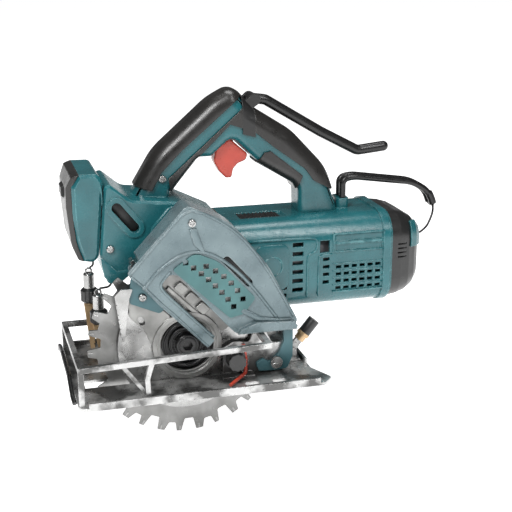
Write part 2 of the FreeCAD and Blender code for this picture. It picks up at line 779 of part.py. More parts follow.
def make_trigger():
    finger = prism([(53, 195, 3), (62, 187, 6), (69, 181, 3), (67.5, 175.5, 3), (60, 172.5, 4),
                    (56, 168, 3), (54.5, 160.5, 2), (49.5, 160.5, 2), (43.5, 166.5, 5),
                    (38.5, 176, 6), (41, 187, 6)], -trigger_half, trigger_half)
    rims = [e for e in finger.Edges if abs(abs(e.CenterOfMass.y) - trigger_half) < 0.01]
    finger = finger.makeFillet(1.5, rims)
    stalk = prism([(47, 184), (58, 184), (55, 200), (50, 206, 3), (45, 202, 3)], -4, 4)
    pin = disc_y(*trigger_pivot, 1.8, -handle_half + skin + shell_wall,
                 handle_half - skin - shell_wall)
    return fuse(finger, stalk, pin)


nodes["trigger"] = make_trigger()
nodes["switch_body"] = prism([(16, 200), (24, 191), (43, 207), (36, 216)], -9, 9)

# ---- Battery ------------------------------------------------------------------------------

pack_back = [(-80, 176.3), (-86.5, 166, 3), (-86.3, 143), (-84.6, 121), (-82.6, 113),
             (-79, 102.8)]


def make_battery():
    face_x = pack_front[0][0] - 0.4
    case = prism([(face_x, 169, 4), (-64.5, 176, 5)] + pack_back + [(-70, 101, 6),
                 (-66.4, 107, 4)], -pack_half, pack_half)
    rims = [e for e in case.Edges if abs(abs(e.CenterOfMass.y) - pack_half) < 0.01]
    return case.makeChamfer(2.5, rims)


def make_end_shell():
    shell = prism(pack_back[::-1] + [(-86.5, 174), (-90.8, 164, 5), (-91, 148, 20),
                                     (-88.2, 116, 20), (-83.5, 104.5, 3)],
                  -pack_half + 1, pack_half - 1)
    plan = slab([(-92, -pack_half + 9, 5), (-85, -pack_half + 1.5), (-70, -pack_half + 1),
                 (-70, pack_half - 1), (-85, pack_half - 1.5), (-92, pack_half - 9, 5)], 90, 190)
    recess = prism([(-100, 164), (-87.7, 164), (-87.7, 152), (-100, 152)], -9, 9)
    return shell.common(plan).cut(recess)


nodes["battery_case"] = make_battery()
nodes["battery_end_shell"] = make_end_shell()
nodes["battery_latch"] = prism([(-90.4, 163.5), (-90.4, 152.5), (-93.2, 154.5, 0.8),
                                (-93.2, 161.5, 0.8)], -8.5, 8.5)

# ---- Guards -------------------------------------------------------------------------------

cover_back_y = cover_y + cover_thick
cover_outline = [(-50, 102, 3), (0, 156, 6), (38, 138, 50), (68, 100, 80), (94, 50, 5),
                 (92, 43, 2), (40, 42.5, 5), (33, 50, 4), (-13, 103, 9), (-25, 90, 6),
                 (22, 38, 1.5), (16, 32, 1.5), (-24, 73, 3), (-38, 90, 3)]
cover_rim = [(-50, 102, 3), (0, 156, 6), (38, 138, 50), (68, 100, 80), (94, 50, 5),
             (60, 40), (-20, 80)]
insert_outline = [(-13, 103, 2), (6, 116, 10), (26, 107, 30), (57, 73, 3), (47, 60, 2),
                  (35, 57, 3), (14, 77, 60)]


def make_cover():
    """Outer blade cover: a windowed face and a rim that wraps over the blade."""
    face = prism(cover_outline, cover_y, cover_back_y)
    rim = prism(cover_rim, cover_back_y, case_face_y - 2.6)
    wall = inset(cover_rim, 2.4, cover_back_y, case_face_y - 2.6)
    band = rim.cut(wall)
    # the rim runs only along the top and the right-hand arc
    lower = prism([(-60, 60), (-48.5, 99), (0, 40), (40, 40), (93, 52), (93, 20), (-60, 20)],
                  cover_back_y - 1, 0)
    swing = disc_y(*spindle, guard_rim_r + guard_tab + 1.2, cover_back_y, 0)
    band = band.cut(lower).cut(swing)
    pocket = prism([(28, 107, 3), (33, 112, 3), (56, 86, 3), (51, 82, 3)], cover_y - 1,
                   cover_back_y + 1)
    window = inset(insert_outline, 3.0, cover_y - 1, cover_back_y + 1)
    ledge = prism([(44, 47), (58, 52, 4), (90, 50), (93, 46), (92, 43), (41, 43)],
                  cover_y - 5, cover_y)
    return fuse(face, band, ledge).cut(pocket).cut(window)


def make_insert():
    """Perforated plate over the cover's opening."""
    plate = prism(insert_outline, cover_y - 1.5, cover_y)
    for count, x0, z0, x1, z1, bow in ((8, -2, 108.5, 38, 67, 2.5), (6, 15, 104, 46, 73, 3.5)):
        for k in range(count):
            t = k / (count - 1)
            lift = bow * 4 * t * (1 - t)
            x = x0 + (x1 - x0) * t + lift * 0.7
            z = z0 + (z1 - z0) * t + lift * 0.7
            plate = plate.cut(block(x - 2.3, x + 2.3, cover_y - 3, cover_y + 1, z - 2.2, z + 2.2))
    return plate


def make_guard_back():
    """Inner blade cover, between the blade and the gear case."""
    plate = prism([(-46, 99, 4), (0, 150, 8), (38, 133, 50), (66, 96, 80), (90, 52, 4),
                   (60, 44), (30, 38), (-20, 60)], case_face_y - 2.6, case_face_y)
    return plate.cut(disc_y(*spindle, boss_r + gap, -60, 0))


casting_y0 = guard_near_y - 3.4
casting_y1 = guard_near_y - 0.8
casting_r = flange_r + 8.5


def make_baffle():
    """Ribbed stiffener seen through the cover's window."""
    plate = prism([(-20, 100, 4), (-8, 100, 4), (40, 48, 3), (30, 42, 3), (-20, 86, 4)],
                  guard_near_y - 3.2, guard_near_y - 1.2)
    blocks = []
    for k in range(3):
        x = -6 + k * 9
        z = 84 - k * 9.5
        blocks.append(prism([(x - 5, z + 1, 1.5), (x + 1, z + 6, 1.5), (x + 8, z - 1, 1.5),
                             (x + 2, z - 6, 1.5)], guard_near_y - 6.0, guard_near_y - 3.2))
    rib = prism([(-17, 84), (-15, 86.5), (24, 47), (21.5, 45)], guard_near_y - 6,
                guard_near_y - 3.2)
    arm = prism([(-12, 99), (-6, 105), (4, 112), (14, 106), (-2, 92)], cover_back_y,
                guard_near_y - 1.2)
    body = fuse(plate, rib, arm, *blocks)
    return body.cut(disc_y(*spindle, casting_r + gap, -90, 0))




def make_casting():
    """Silver arm that carries a ring round the blade clamp."""
    ring = disc_y(*spindle, casting_r, casting_y0, casting_y1)
    arm = prism([(-24, 22, 4), (-32, 40, 6), (-36, 50, 3), (-48, 62, 6), (-48, 80, 5), (-30, 84, 3),
                 (-22, 68, 4), (-14, 60)], casting_y0, casting_y1)
    lip = disc_y(*spindle, casting_r, casting_y0 - 1.6, casting_y0, casting_r - 4)
    body = fuse(ring, arm, lip).cut(disc_y(*spindle, flange_r + 2, -90, 0))
    body = body.cut(block(-60, 60, -90, 0, -90, plate_thick + 1))
    return body.cut(prism([(-42, 62, 2), (-37, 62, 2), (-34, 54, 2), (-39, 54, 2)], -90, 0))


lug_y0 = casting_y0 - 2.6
nodes["upper_guard"] = make_cover()
nodes["guard_insert"] = make_insert()
nodes["guard_back"] = make_guard_back()
nodes["inner_baffle"] = make_baffle()
nodes["casting_arm"] = make_casting()
nodes["bracket_plate"] = prism([(-46, 96, 2), (-36, 94, 2), (-12, 73, 2), (-23, 64, 3),
                                (-48, 75, 3)], lug_y0, casting_y0)
pointer_teeth = 7


def make_pointer():
    """Downward spike with a toothed edge."""
    spike = prism([(-60, 83, 1), (-55, 88, 1), (-45, 88, 1), (-48, 80), (-53, 43, 0.8),
                   (-55.2, 43, 0.8)], lug_y0 - 2.2, lug_y0)
    for k in range(pointer_teeth):
        z = 50 + k * 4.2
        x = -55.2 - (z - 43) * 0.12
        spike = spike.cut(prism([(x - 1.5, z - 1.3), (x - 1.5, z + 1.3), (x + 1.0, z)],
                                lug_y0 - 3, lug_y0 + 1))
    return spike


nodes["depth_pointer"] = make_pointer()
nodes["front_leg"] = prism([(82, 50), (90, 50), (91, 40), (91, 16, 3), (86, 5, 4), (78, 4.2, 3),
                            (61, 5, 2), (58, 12, 3), (65, 15.5, 3), (71, 12, 2), (79, 20, 4),
                            (83, 30, 4)], cover_back_y, cover_back_y + 3.6).cut(
    disc_y(pivot_x, pivot_z, pivot_r + running, -90, 0))


def make_lower_guard():
    """Swinging guard: a disc beside the hub, a sector over the teeth and a far-side plate."""
    far_y = guard_far_y
    near_y = guard_near_y
    hub_r = boss_r + 7

    def sector(radius, y0, y1):
        pts = [spindle]
        steps = 6
        for k in range(steps + 1):
            turn = math.radians(guard_start + (guard_end - guard_start) * k / steps)
            pts.append((spindle[0] + 140 * math.cos(turn), spindle[1] + 140 * math.sin(turn)))
        return disc_y(*spindle, radius, y0, y1).common(prism(pts, y0, y1))

    near_disc = disc_y(*spindle, guard_disc_r, near_y, near_y + guard_sheet)
    near_arc = sector(guard_rim_r, near_y, near_y + guard_sheet)
    far_hub = disc_y(*spindle, hub_r, far_y, far_y + guard_sheet)
    far_arc = sector(guard_rim_r, far_y, far_y + guard_sheet)
    rim = sector(guard_rim_r, near_y, far_y + guard_sheet).cut(
        disc_y(*spindle, guard_rim_r - guard_sheet, near_y, far_y + guard_sheet))
    tab = block(guard_rim_r - 1, guard_rim_r + guard_tab, near_y, far_y, -1.5, 1.5)
    tab.rotate(V(0, 0, 0), V(0, 1, 0), -(guard_end - 2))
    tab.translate(V(spindle[0], 0, spindle[1]))
    body = fuse(near_disc, near_arc, far_hub, far_arc, rim, tab)
    body = body.cut(disc_y(*spindle, flange_r + 2.5, near_y - 1, near_y + 2))
    return body.cut(disc_y(*spindle, boss_r + running, far_y - 1, far_y + 2))


nodes["lower_guard"] = make_lower_guard()

# ---- Base ---------------------------------------------------------------------------------

slot_half = math.sqrt(guard_rim_r ** 2 - spindle_z ** 2) + 8
bracket_y1 = cover_back_y + 3.6 + 2.4
bracket_y0 = bracket_y1 - 1.9


def rail_top(x):
    return rail_height + rail_rise * max(0.0, (x - plate_x0)) / (rail_end_x - plate_x0)


def make_base_plate():
    plate = slab([(plate_x0, plate_y0, 8), (plate_x1, plate_y0, 4), (plate_x1 + 9, -94, 4),
                  (plate_x1 - 2, -70, 4), (plate_x1 - 2, plate_y1, 8), (plate_x0, plate_y1, 8)],
                 0, plate_thick)
    front_lip = block(plate_x0 + 8, plate_x1 - 4, plate_y0, plate_y0 + 2.2, 0, 6.5)
    far_lip = block(plate_x0 + 8, plate_x1 - 10, plate_y1 - 2.2, plate_y1, 0, 6.5)
    right_lip = block(plate_x1 - 4.2, plate_x1 - 2, -60, plate_y1 - 8, 0, 6.5)
    body = fuse(plate, front_lip, far_lip, right_lip)
    body = body.cut(block(-slot_half, slot_half, guard_near_y - 1.6, guard_far_y + 4, -1, 20))
    for x in (50, 74):
        body = body.cut(slab([(x - 6, -92, 2), (x + 6, -92, 2), (x + 6, -87, 2), (x - 6, -87, 2)],
                             -1, 9))
    return body


def make_guard_rail():
    """Raised bar round the near, end and far edges of the base."""
    h = rail_bar / 2
    x0 = plate_x0 + 3
    y0 = plate_y0 + 7
    y1 = plate_y1 - 5
    near = prism([(x0, rail_top(x0) - h), (x0, rail_top(x0) + h),
                  (rail_end_x, rail_top(rail_end_x) + h), (rail_end_x, rail_top(rail_end_x) - h)],
                 y0 - h, y0 + h)
    end = bar_x([(y0 - h, rail_top(x0) - h), (y0 - h, rail_top(x0) + h),
                 (y1 + h, rail_height - 8 + h), (y1 + h, rail_height - 8 - h)], x0 - h, x0 + h)
    far = block(x0 - h, -20, y1 - h, y1 + h, rail_height - 8 - h, rail_height - 8 + h)
    z = rail_top(rail_end_x)
    turn = block(rail_end_x - rail_bar, rail_end_x, y0 - h, bracket_y0, z - h, z + h)
    return fuse(near, end, far, turn)


def make_rail_posts():
    h = rail_bar / 2
    x0 = plate_x0 + 3
    y0 = plate_y0 + 7
    y1 = plate_y1 - 5
    near_post = block(x0 - h, x0 + h, y0 - h, y0 + h, plate_thick, rail_top(x0) - h)
    far_post = block(x0 - h, x0 + h, y1 - h, y1 + h, plate_thick, rail_height - 8 - h)
    far_mid = block(-26, -26 + rail_bar, y1 - h, y1 + h, plate_thick, rail_height - 8 - h)
    strut = prism([(-41, plate_thick), (-37, plate_thick), (-38, 20), (-34, rail_top(-35) - h),
                   (-38.5, rail_top(-38) - h), (-42, 20)], y0 - h, y0 + h)
    brace = prism([(-40, plate_thick), (-36, plate_thick), (-57, rail_top(-57) - h - 0.4),
                   (-61, rail_top(-60) - h - 0.6)], y0 + h + 0.6, y0 + h + 2.4)
    return Part.makeCompound([near_post, far_post, far_mid, strut, brace])


def make_bumper():
    """Bent rod outside the end of the base."""
    x = plate_x0 - 2.2
    return tube([(x, plate_y0 + 12, 3), (x - 1, plate_y0 + 18, 7), (x - 1, plate_y0 + 40, 15),
                 (x - 1, -10, 15), (x - 1, plate_y1 - 20, 11), (x, plate_y1 - 8, 3)], 2.0, 6.0)


knob_at = (37.0, 23.0)


def make_bracket():
    """Upright wall that carries the depth pivot and the clamp knob."""
    top = rail_top(rail_end_x) + rail_bar / 2
    wall = prism([(30.5, plate_thick), (30.5, 27, 4), (40, 32, 6), (rail_end_x - 11, 31, 3),
                  (rail_end_x - 7, top, 2), (rail_end_x + 3, top, 3), (rail_end_x + 9, 28, 4),
                  (84, 28, 3), (90, 12, 3), (88, plate_thick)], bracket_y0, bracket_y1)
    foot = block(28, 56, cover_back_y - 6, bracket_y0, plate_thick, plate_thick + 2)
    body = fuse(wall, foot)
    return body.cut(disc_y(pivot_x, pivot_z, pivot_r, -90, 0)).cut(
        disc_y(*knob_at, 3.0 + running, -90, 0))


nodes["base_plate"] = make_base_plate()
nodes["guard_rail"] = make_guard_rail()
nodes["rail_posts"] = make_rail_posts().cut(nodes["guard_rail"])
nodes["end_bumper"] = make_bumper()
nodes["front_bracket"] = make_bracket()
pivot_head_y = cover_back_y - 0.3
nodes["pivot_screw"] = fuse(
    disc_y(pivot_x, pivot_z, 5.2, pivot_head_y - 2.6, pivot_head_y).cut(
        block(pivot_x - 3.4, pivot_x + 3.4, pivot_head_y - 3, pivot_head_y - 1.6,
              pivot_z - 0.6, pivot_z + 0.6)),
    disc_y(pivot_x, pivot_z, pivot_r, pivot_head_y, bracket_y1))


def make_clamp_knob():
    """Black hand knob on a stud through the bracket."""
    knob = disc_y(*knob_at, 7.6, -92, -80)
    for k in range(10):
        turn = k * math.pi / 5
        knob = knob.cut(disc_y(knob_at[0] + 8.4 * math.cos(turn), knob_at[1] + 8.4 * math.sin(turn),
                               1.4, -93, -79))
    collar = disc_y(*knob_at, 9.6, -80, -77.5)
    stud = disc_y(*knob_at, 3.0, -77.5, bracket_y1 + 0.8)
    neck = disc_y(*knob_at, 5.0, -77.5, bracket_y0 - 0.3)
    return fuse(knob, collar, neck, stud)


nodes["clamp_knob"] = make_clamp_knob()
nodes["cut_line_indicator"] = tube([(48, bracket_y0 - 1.6, 30), (49.5, bracket_y0 - 3, 18),
                                    (47, -79, 8), (30, -94, 5)], 1.5, 5.0)

# ---- Lock lever ---------------------------------------------------------------------------

lever_pivot = (96.0, plate_thick + 7.5)
lever_y = -46.0
lever_dir = (0.64, 0.768)


def lever_point(distance, side=0.0):
    return (lever_pivot[0] + lever_dir[0] * distance - lever_dir[1] * side,
            lever_pivot[1] + lever_dir[1] * distance + lever_dir[0] * side)


def lever_cylinder(start, stop, radius):
    a = lever_point(start)
    return Part.makeCylinder(radius, stop - start, V(a[0], lever_y, a[1]),
                             V(lever_dir[0], 0, lever_dir[1]))


def make_lever():
    arm = prism([lever_point(0, 4) + (2,), lever_point(18, 3), lever_point(18, -3),
                 lever_point(0, -4) + (2,)], lever_y - 1.6, lever_y + 1.6)
    eye = disc_y(*lever_pivot, 5.5, lever_y - 1.6, lever_y + 1.6)
    stem = lever_cylinder(12, 30, 2.2)
    return fuse(arm, eye, stem).cut(disc_y(*lever_pivot, 2.5 + running, -60, -30))


def make_lever_stand():
    foot = block(88, 104, lever_y - 8, lever_y + 8, plate_thick, plate_thick + 1.8)
    cheeks = []
    for side in (-1, 1):
        y0, y1 = sorted((lever_y + side * 1.9, lever_y + side * 4.4))
        cheeks.append(prism([(90, plate_thick), (102, plate_thick), (101, lever_pivot[1] + 4, 3),
                             (91, lever_pivot[1] + 4, 3)],
                            y0, y1))
    pin = disc_y(*lever_pivot, 2.5, lever_y - 4.4, lever_y + 4.4)
    return fuse(foot, pin, *cheeks)


nodes["lock_lever"] = make_lever()
nodes["lever_nut"] = fuse(lever_cylinder(13, 18, 4.6), lever_cylinder(18, 21, 5.8)).cut(
    lever_cylinder(10, 40, 2.2))
nodes["lever_nut"] = nodes["lever_nut"].cut(make_lever())
nodes["lever_knob"] = lever_cylinder(21, 35.5, 5.4).cut(lever_cylinder(18, 30, 2.2))
nodes["lever_stand"] = make_lever_stand()

# ---- Fence pins and their lanyards --------------------------------------------------------

pin_sites = {"near": (pin_x, pin_near_y, 44.0), "far": (pin_x - 6, pin_far_y, 60.0)}


def make_pins():
    """Serrated brass tongues that stand on the base."""
    solids = []
    for x, y, top in pin_sites.values():
        blade = prism([(x - 5.5, top - 14), (x + 5.5, top - 14), (x + 2.5, plate_thick),
                       (x - 1.2, plate_thick)], y - 2, y + 2)
        lean = 3 / (top - 14 - plate_thick)
        for k in range(6):
            z = plate_thick + 2.5 + k * 3.6
            edge = x + 2.5 + lean * (z - plate_thick)
            blade = blade.cut(prism([(edge + 1, z), (edge + 1, z + 2.6), (edge - 1.6, z + 1)],
                                    y - 3, y + 3))
        solids.append(fuse(blade, disc_z(x, y, 3.0, top - 15, top + 8)))
    return Part.makeCompound(solids)


def make_caps():
    solids = []
    for x, y, top in pin_sites.values():
        cap = disc_z(x, y, 5.0, top, top + 14)
        rim = [e for e in cap.Edges if abs(e.CenterOfMass.z - top - 14) < 0.01]
        cap = cap.makeFillet(2.0, rim).cut(disc_z(x, y, 3.0, top, top + 8))
        eye = Part.makeTorus(2.6, 0.9, V(x, y, top + 15.5), V(0, 1, 0))
        solids.append(fuse(cap, eye))
    return Part.makeCompound(solids)


def make_collar(site):
    x, y, top = pin_sites[site]
    ring = disc_z(x, y, 8.0, top - 13.6, top - 0.3, 3.0 + running)
    rims = [e for e in ring.Edges if abs(e.CenterOfMass.z - (top - 6.95)) > 6
            and e.Curve.TypeId == "Part::GeomCircle" and e.Curve.Radius > 5]
    ring = ring.makeChamfer(2.0, rims)
    for k in range(12):
        turn = k * math.pi / 6
        ring = ring.cut(disc_z(x + 8.4 * math.cos(turn), y + 8.4 * math.sin(turn), 0.9,
                               top - 14, top))
    return ring


nodes["fence_pins"] = make_pins()
nodes["pin_caps"] = make_caps()
nodes["pin_collar_near"] = make_collar("near")
nodes["pin_collar_far"] = make_collar("far")

wire_r = 1.0
near_x, near_y, near_top = pin_sites["near"]
far_x, far_y, far_top = pin_sites["far"]
nodes["lanyard_near"] = tube([(near_x + 1.6, near_y, near_top + 18.9),
                              (near_x + 5, near_y - 1, near_top + 19.5),
                              (near_x + 10, near_y - 4, near_top + 21),
                              (near_x + 13, near_y - 6, near_top + 28),
                              (near_x + 12.4, near_y - 7, near_top + 36.4)], wire_r)
nodes["lanyard_far"] = tube([(far_x + 1.6, far_y, far_top + 18.9),
                             (far_x + 4, far_y - 1.5, far_top + 20.2),
                             (far_x + 4.2, far_y - 4.5, far_top + 26),
                             (far_x + 2.4, far_y - 5.5, far_top + 37)], wire_r)

# ---- Screws -------------------------------------------------------------------------------

cover_screws = [(4, cover_y, 141), (-37, lug_y0, 79.5)]
shell_screws = [(-57, -rear_half, 112), (-8.4, -handle_half + skin, 165)]
screw_solids = []
for at in cover_screws + shell_screws:
    screw_solids.append(screw(at, (0, 1, 0), shank=6.0))
    drill = hole(at, (0, 1, 0), 7.0)
    for name in ("upper_guard", "bracket_plate", "casting_arm", "front_leg", "depth_pointer",
                 "handle_shell_near", "guard_back"):
        if nodes[name].distToShape(drill)[0] < 0.001:
            nodes[name] = nodes[name].cut(drill)
nodes["screws"] = Part.makeCompound(screw_solids)

for name, shape in nodes.items():
    shape.exportStep("parts/" + name + ".step")
    print(name, len(shape.Solids), round(shape.Volume), shape.isValid())
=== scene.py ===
import json
import math

import bmesh
import bpy
from mathutils import Matrix, Vector

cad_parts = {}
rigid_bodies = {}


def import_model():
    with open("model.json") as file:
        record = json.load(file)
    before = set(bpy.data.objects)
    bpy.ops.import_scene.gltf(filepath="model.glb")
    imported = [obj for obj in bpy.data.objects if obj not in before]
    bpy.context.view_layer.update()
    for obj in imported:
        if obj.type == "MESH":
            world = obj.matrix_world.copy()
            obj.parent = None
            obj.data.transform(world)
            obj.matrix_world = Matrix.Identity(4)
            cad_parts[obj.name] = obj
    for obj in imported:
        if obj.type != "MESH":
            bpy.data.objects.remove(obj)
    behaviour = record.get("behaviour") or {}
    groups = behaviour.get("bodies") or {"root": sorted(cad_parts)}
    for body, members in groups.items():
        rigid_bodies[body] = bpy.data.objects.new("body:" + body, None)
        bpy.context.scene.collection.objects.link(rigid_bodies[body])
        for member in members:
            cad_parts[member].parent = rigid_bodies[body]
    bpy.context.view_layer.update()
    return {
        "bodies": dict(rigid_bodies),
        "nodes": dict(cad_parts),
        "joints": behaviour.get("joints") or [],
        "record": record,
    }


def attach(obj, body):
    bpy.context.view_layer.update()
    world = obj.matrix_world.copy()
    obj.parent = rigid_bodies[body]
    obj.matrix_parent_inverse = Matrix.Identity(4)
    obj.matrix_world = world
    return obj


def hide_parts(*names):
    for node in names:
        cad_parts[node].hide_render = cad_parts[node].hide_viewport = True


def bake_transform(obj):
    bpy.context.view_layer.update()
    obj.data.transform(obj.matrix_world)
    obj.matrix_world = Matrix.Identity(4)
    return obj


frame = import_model()
nodes = frame["nodes"]
print("frame loaded:", len(nodes), "CAD pieces")

# ---------- camera, floor and light ----------

studio = {"eye": (-0.1676, -0.88576, 0.36656), "turn": 15.5, "down": 17.0, "lens": 75,
          "floorZ": -0.0515, "world": 0.10, "floorGlow": 0.90, "floorSize": 12}


lamps = {
    "key": {"place": (-0.75, -0.95, 1.25), "aim": (0, 0, 0.08), "size": (0.35, 0.8), "power": 21},
    "top": {"place": (0.15, 0.15, 1.5), "aim": (0.05, 0, 0.05), "size": (0.8, 0.5), "power": 11},
    "strip": {"place": (0.5, -0.9, 1.1), "aim": (0.08, 0, 0.10), "size": (0.10, 0.9), "power": 7}}


def makeCamera():
    turn = math.radians(studio["turn"])
    down = math.radians(studio["down"])
    ahead = Vector((math.sin(turn) * math.cos(down), math.cos(turn) * math.cos(down),
                    -math.sin(down)))
    lens = bpy.data.cameras.new("camera")
    lens.lens = studio["lens"]
    lens.sensor_width = 36
    lens.clip_start = 0.01
    camera = bpy.data.objects.new("camera", lens)
    camera.location = studio["eye"]
    camera.rotation_euler = ahead.to_track_quat("-Z", "Y").to_euler()
    bpy.context.scene.collection.objects.link(camera)
    bpy.context.scene.camera = camera


def makeLight(name, place, aim, size, power):
    lamp = bpy.data.lights.new(name, "AREA")
    lamp.shape = "RECTANGLE"
    lamp.size, lamp.size_y = size
    lamp.energy = power
    light = bpy.data.objects.new(name, lamp)
    light.location = place
    light.rotation_euler = (Vector(aim) - Vector(place)).to_track_quat("-Z", "Y").to_euler()
    bpy.context.scene.collection.objects.link(light)


# ---------- shader sums ----------

class Wire:
    # one socket; adding or scaling it adds the Math node
    def __init__(self, tree, socket=None):
        self.tree = tree
        self.socket = socket

    def add(self, kind, settings=None, sockets=None, out=0):
        made = self.tree.nodes.new("ShaderNode" + kind)
        for name, value in (settings or {}).items():
            setattr(made, name, value)
        for name, value in (sockets or {}).items():
            if isinstance(value, Wire):
                self.tree.links.new(value.socket, made.inputs[name])
            else:
                made.inputs[name].default_value = value
        return Wire(self.tree, made.outputs[out])

    def maths(self, operation, *values):
        return self.add("Math", {"operation": operation}, dict(enumerate(values)))

    def blend(self, low, high):
        # colour between low and high by this mask
        return self.add("Mix", {"data_type": "RGBA"}, {0: self, 6: low, 7: high}, out=2)

    def steps(self, low, high):
        return self.add("MapRange", {"clamp": True}, {"Value": self, 1: low, 2: high})

    def __add__(self, other):
        return self.maths("ADD", self, other)

    def __radd__(self, other):
        return self.maths("ADD", other, self)

    def __sub__(self, other):
        return self.maths("SUBTRACT", self, other)

    def __rsub__(self, other):
        return self.maths("SUBTRACT", other, self)

    def __mul__(self, other):
        return self.maths("MULTIPLY", self, other)

    def __rmul__(self, other):
        return self.maths("MULTIPLY", other, self)


def rgb(r, g, b):
    return (r, g, b, 1.0)


# colour, darker patch, worn edge; grain is in features per metre, depths are in metres
finishes = {
    "teal_plastic": {"base": (0.014, 0.118, 0.134), "patch": (0.009, 0.086, 0.100),
                     "worn": (0.20, 0.46, 0.48), "rough": (0.18, 0.34), "metal": 0.0,
                     "grain": 2600, "depth": 0.00005, "edge": 0.0012, "wear": 0.8, "coat": 0.2},
    "guard_paint": {"base": (0.150, 0.205, 0.220), "patch": (0.085, 0.128, 0.142),
                    "worn": (0.50, 0.55, 0.56), "rough": (0.20, 0.40), "metal": 0.2,
                    "grain": 1500, "depth": 0.00007, "edge": 0.0014, "wear": 0.9, "coat": 0.3},
    "insert_paint": {"base": (0.055, 0.165, 0.168), "patch": (0.038, 0.120, 0.124),
                     "worn": (0.34, 0.48, 0.47), "rough": (0.30, 0.48), "metal": 0.1,
                     "grain": 1500, "depth": 0.00006, "edge": 0.0006, "wear": 0.7, "coat": 0.2},
    "bracket_paint": {"base": (0.045, 0.130, 0.150), "patch": (0.028, 0.090, 0.105),
                      "worn": (0.25, 0.36, 0.37), "rough": (0.28, 0.46), "metal": 0.1,
                      "grain": 1500, "depth": 0.00006, "edge": 0.0008, "wear": 0.7, "coat": 0.2},
    "grip_rubber": {"base": (0.017, 0.016, 0.015), "patch": (0.010, 0.0095, 0.009),
                    "worn": (0.12, 0.115, 0.11), "rough": (0.24, 0.38), "metal": 0.0,
                    "grain": 3200, "depth": 0.00008, "edge": 0.0016, "wear": 0.45, "coat": 0.12},
    "black_plastic": {"base": (0.016, 0.016, 0.016), "patch": (0.010, 0.010, 0.010),
                      "worn": (0.10, 0.10, 0.10), "rough": (0.26, 0.42), "metal": 0.0,
                      "grain": 2600, "depth": 0.00005, "edge": 0.0008, "wear": 0.5, "coat": 0.1},
    "red_plastic": {"base": (0.56, 0.062, 0.032), "patch": (0.44, 0.042, 0.024),
                    "worn": (0.75, 0.26, 0.18), "rough": (0.24, 0.38), "metal": 0.0,
                    "grain": 2200, "depth": 0.00004, "edge": 0.0012, "wear": 0.5, "coat": 0.3},
    "blade_steel": {"base": (0.30, 0.30, 0.295), "patch": (0.16, 0.16, 0.155),
                    "worn": (0.62, 0.62, 0.61), "rough": (0.24, 0.44), "metal": 0.9,
                    "grain": 900, "depth": 0.00004, "edge": 0.0003, "wear": 0.6, "coat": 0.0},
    "base_steel": {"base": (0.50, 0.50, 0.495), "patch": (0.11, 0.11, 0.108),
                   "worn": (0.88, 0.88, 0.87), "rough": (0.18, 0.50), "metal": 0.72,
                   "blotch": (0.44, 0.56),
                   "grain": 420, "depth": 0.00020, "edge": 0.0008, "wear": 1.0, "coat": 0.0},
    "steel": {"base": (0.42, 0.42, 0.415), "patch": (0.24, 0.24, 0.235),
              "worn": (0.80, 0.80, 0.79), "rough": (0.18, 0.38), "metal": 0.95,
              "grain": 900, "depth": 0.00005, "edge": 0.0005, "wear": 0.7, "coat": 0.0},
    "gear_steel": {"base": (0.36, 0.36, 0.37), "patch": (0.26, 0.25, 0.24),
                   "worn": (0.6, 0.6, 0.6), "rough": (0.22, 0.36), "metal": 0.95,
                   "grain": 900, "depth": 0.00003, "edge": 0.0003, "wear": 0.4, "coat": 0.0},
    "laminations": {"base": (0.20, 0.20, 0.21), "patch": (0.13, 0.13, 0.14),
                    "worn": (0.4, 0.4, 0.4), "rough": (0.40, 0.55), "metal": 0.7,
                    "grain": 1500, "depth": 0.0001, "edge": 0.0003, "wear": 0.4, "coat": 0.0},
    "black_steel": {"base": (0.017, 0.017, 0.017), "patch": (0.010, 0.010, 0.011),
                    "worn": (0.20, 0.20, 0.20), "rough": (0.22, 0.38), "metal": 0.4,
                    "grain": 1800, "depth": 0.00005, "edge": 0.0005, "wear": 0.6, "coat": 0.15},
    "cast_aluminium": {"base": (0.32, 0.32, 0.31), "patch": (0.17, 0.17, 0.165),
                       "worn": (0.72, 0.72, 0.71), "rough": (0.26, 0.48), "metal": 0.85,
                       "grain": 700, "depth": 0.00018, "edge": 0.0010, "wear": 0.8, "coat": 0.0},
    "brass": {"base": (0.66, 0.47, 0.27), "patch": (0.46, 0.31, 0.17),
              "worn": (0.90, 0.76, 0.55), "rough": (0.26, 0.44), "metal": 0.6,
              "grain": 900, "depth": 0.00005, "edge": 0.0004, "wear": 0.6, "coat": 0.0},
    "cord_black": {"base": (0.030, 0.030, 0.030), "patch": (0.014, 0.014, 0.014),
                   "worn": (0.09, 0.09, 0.09), "rough": (0.5, 0.7), "metal": 0.0,
                   "grain": 2600, "depth": 0.0003, "edge": 0.0002, "wear": 0.2, "coat": 0.0},
}


# noise sizes in features per metre; steps are where a mask starts and ends
texture = {"patches": 38.0, "smudge": 140.0, "blotch": (0.35, 0.68), "rim": (0.004, 0.09),
           "worn": (0.42, 0.66), "rough": (0.3, 0.7), "bump": 0.6, "coatRough": 0.25}


